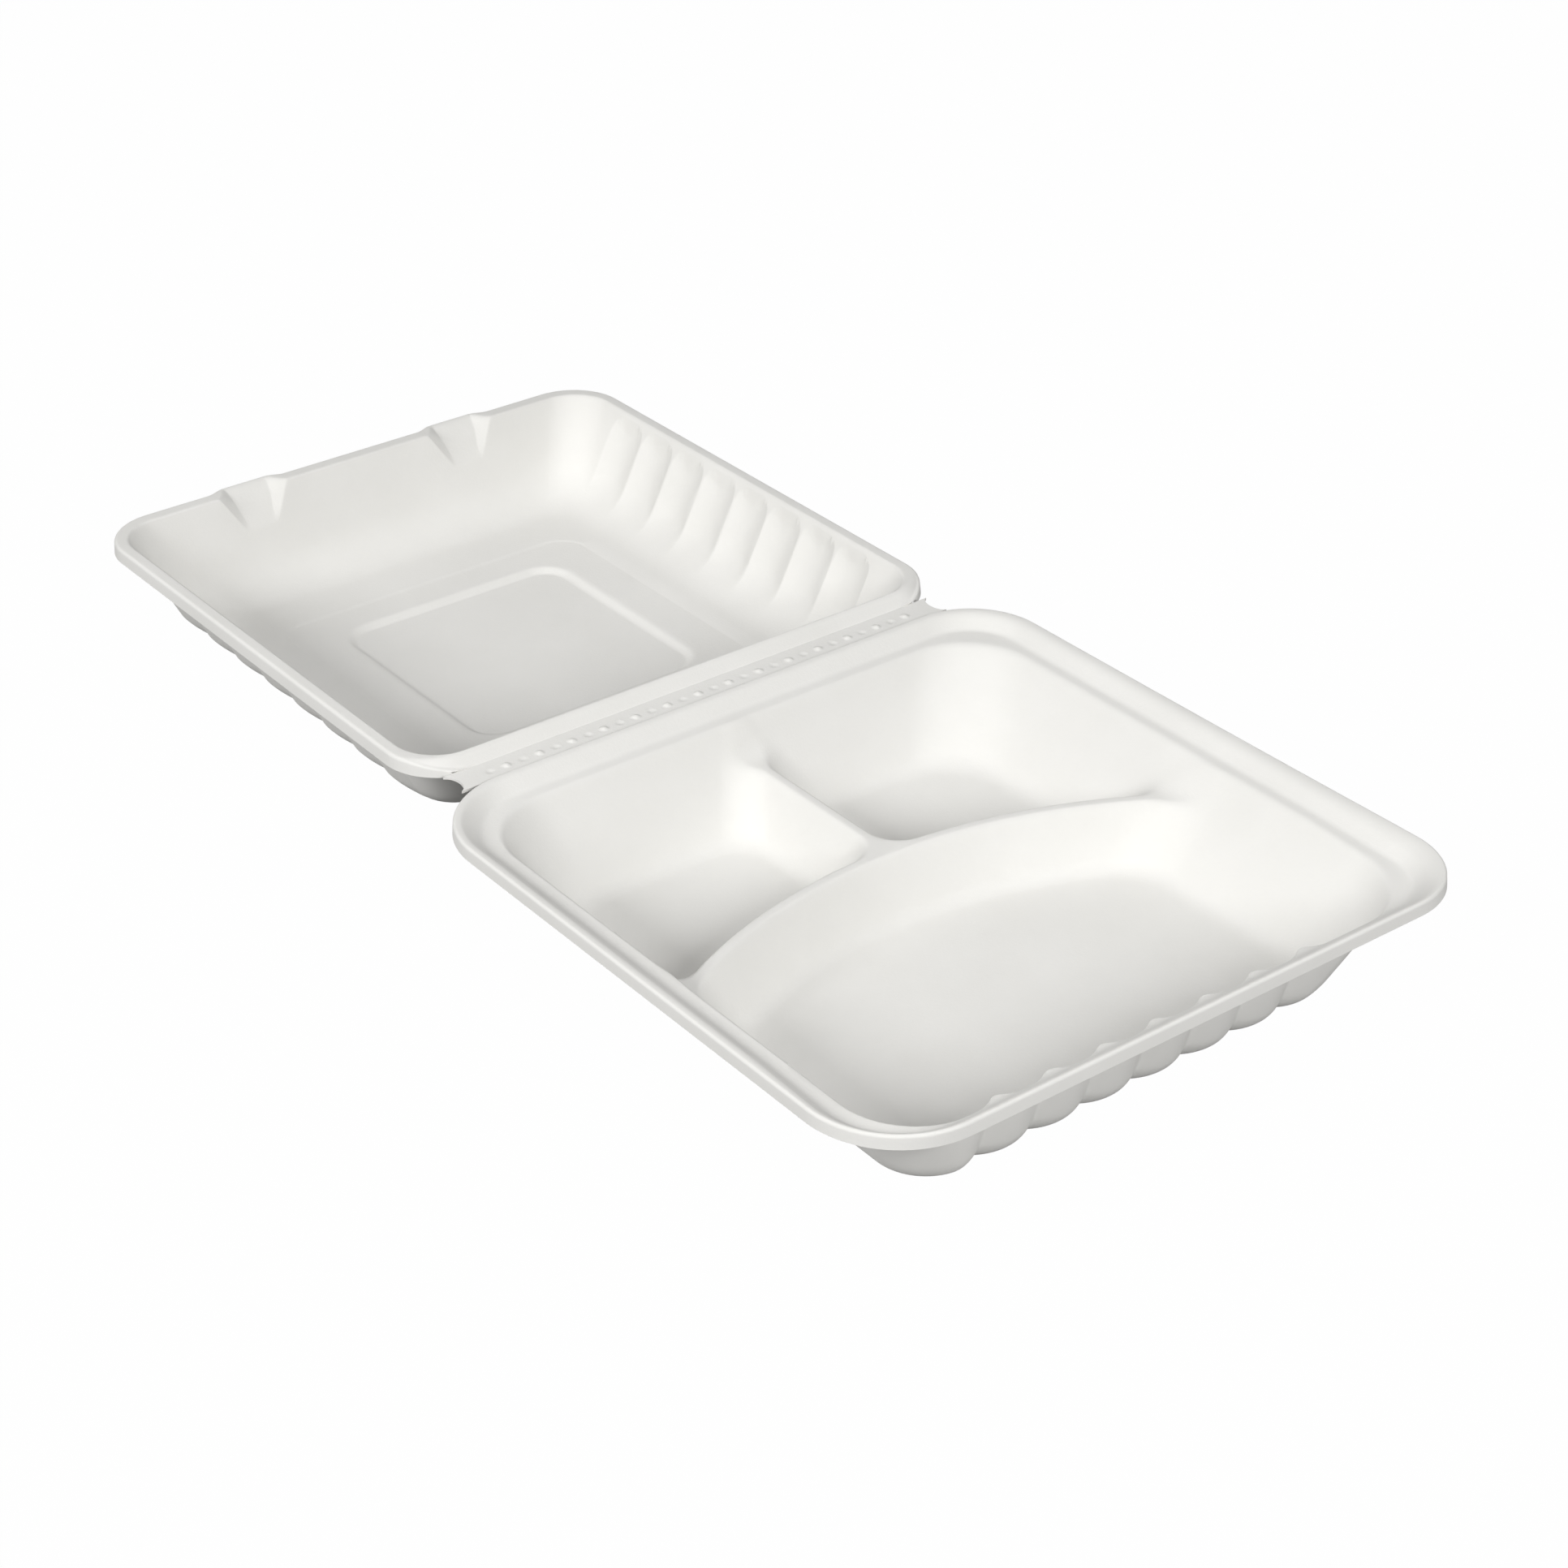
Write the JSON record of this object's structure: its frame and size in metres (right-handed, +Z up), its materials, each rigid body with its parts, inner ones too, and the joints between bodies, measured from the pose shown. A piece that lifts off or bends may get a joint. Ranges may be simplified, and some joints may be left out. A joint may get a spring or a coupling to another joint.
{
  "type": "hinged compartment meal box",
  "caption": "Moulded fibre take-away box, opened flat: a compartment base with a fluted front and a fluted lid that folds over and nests in its rim.",
  "frame": {"origin": "middle of the opened box on the table, below the fold", "axes": "+X along the fold, +Y from the base towards the lid, +Z up"},
  "size_m": [0.2304, 0.455, 0.0377],
  "materials": {
    "moulded_fibre": "matt, smooth inside, wire mesh marks outside"
  },
  "bodies": {
    "base": {"base_tray": "moulded_fibre"},
    "cover": {"lid": "moulded_fibre"}
  },
  "joints": [
    {"name": "lid_fold", "type": "hinge", "parent": "base", "child": "cover", "pos_m": [0, 0.003, 0.0346], "axis": [1, 0, 0], "range_deg": [0, 180]}
  ]
}
